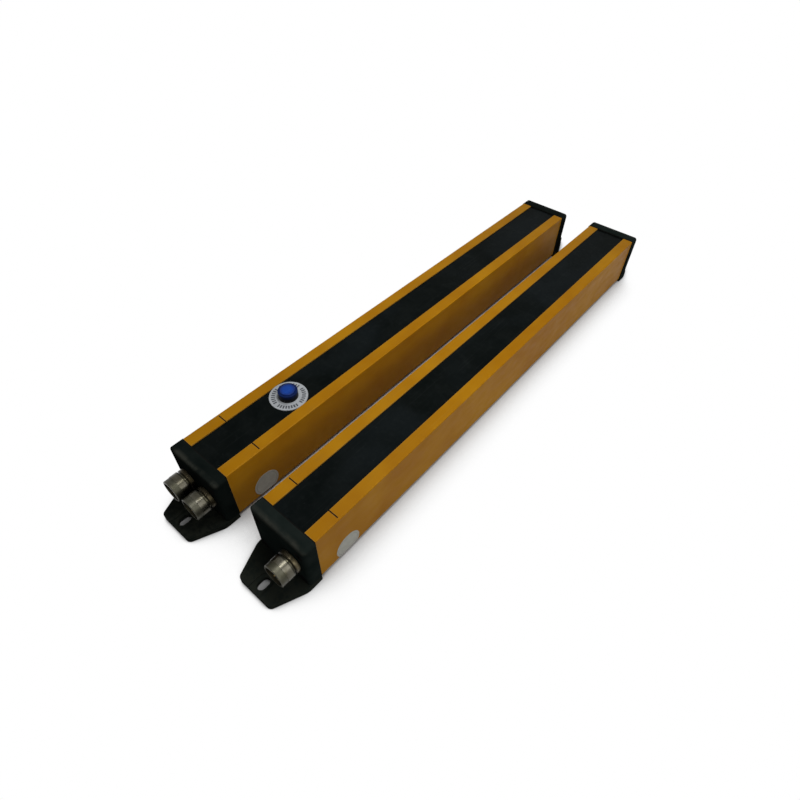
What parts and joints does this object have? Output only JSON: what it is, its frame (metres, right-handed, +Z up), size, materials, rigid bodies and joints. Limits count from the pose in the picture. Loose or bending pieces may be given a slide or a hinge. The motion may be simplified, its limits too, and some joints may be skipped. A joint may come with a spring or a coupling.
{
  "type": "safety light curtain",
  "caption": "Emitter and receiver bars of a safety light curtain: amber extrusions with dark windows, black slotted end caps, round connectors and a blue reset button",
  "frame": {"origin": "middle of the pair on the mounting plane, under the end caps", "axes": "+Y along the bars from the connector end to the plain end, +X across from the receiver to the emitter, +Z up out of the windows"},
  "size_m": [0.133, 0.5434, 0.0566],
  "materials": {
    "housing_paint": "amber-yellow powder coat on extruded aluminium",
    "window_plastic": "near-black infrared-pass plastic, lightly dusty",
    "cap_plastic": "black moulded plastic, fine satin texture",
    "seal_rubber": "black seal rubber",
    "screw_steel": "blackened steel",
    "connector_metal": "nickel-plated brass, worn and slightly brown",
    "insert_plastic": "black moulded contact carrier",
    "pin_brass": "gold-plated contact pins",
    "board": "green circuit board",
    "carrier_plastic": "black moulding",
    "lens_plastic": "clear moulded lenses",
    "diode_plastic": "dark epoxy",
    "label_paper": "plain pale grey round label",
    "plate_metal": "satin silver plate with plain dark marks",
    "collar_plastic": "black collar",
    "button_plastic": "deep blue button head",
    "spring_steel": "plain steel",
    "nut_plastic": "black nut",
    "switch_plastic": "dark grey contact block"
  },
  "bodies": {
    "root": {"emitter_circuit_board": "board", "emitter_connector_cap": "cap_plastic", "emitter_connector_cap_gasket": "seal_rubber", "emitter_connector_cap_screws": "screw_steel", "emitter_diodes": "diode_plastic", "emitter_far_cap": "cap_plastic", "emitter_far_cap_gasket": "seal_rubber", "emitter_far_cap_screws": "screw_steel", "emitter_housing": "housing_paint", "emitter_lens_strip": "lens_plastic", "emitter_optics_carrier": "carrier_plastic", "emitter_power_connector_insert": "insert_plastic", "emitter_power_connector_nut": "connector_metal", "emitter_power_connector_pins": "pin_brass", "emitter_power_connector_seal": "seal_rubber", "emitter_power_connector_shell": "connector_metal", "emitter_side_label": "label_paper", "emitter_window": "window_plastic", "emitter_window_seals": "seal_rubber", "receiver_button_collar": "collar_plastic", "receiver_button_nut": "nut_plastic", "receiver_button_spring": "spring_steel", "receiver_button_switch": "switch_plastic", "receiver_circuit_board": "board", "receiver_connector_cap": "cap_plastic", "receiver_connector_cap_gasket": "seal_rubber", "receiver_connector_cap_screws": "screw_steel", "receiver_diodes": "diode_plastic", "receiver_far_cap": "cap_plastic", "receiver_far_cap_gasket": "seal_rubber", "receiver_far_cap_screws": "screw_steel", "receiver_housing": "housing_paint", "receiver_legend_plate": "plate_metal", "receiver_lens_strip": "lens_plastic", "receiver_optics_carrier": "carrier_plastic", "receiver_relay_connector_insert": "insert_plastic", "receiver_relay_connector_nut": "connector_metal", "receiver_relay_connector_pins": "pin_brass", "receiver_relay_connector_seal": "seal_rubber", "receiver_relay_connector_shell": "connector_metal", "receiver_side_label": "label_paper", "receiver_signal_connector_insert": "insert_plastic", "receiver_signal_connector_nut": "connector_metal", "receiver_signal_connector_pins": "pin_brass", "receiver_signal_connector_seal": "seal_rubber", "receiver_signal_connector_shell": "connector_metal", "receiver_window": "window_plastic", "receiver_window_seals": "seal_rubber"},
    "reset_button": {"receiver_reset_button": "button_plastic", "receiver_button_clip": "spring_steel"}
  },
  "joints": [
    {"name": "reset_press", "type": "slide", "parent": "root", "child": "reset_button", "axis": [0, 0, -1], "range_m": [0, 0.0015], "stiffness_N_per_m": 1000, "springref_m": -0.001, "deforming": ["receiver_button_spring"]}
  ]
}
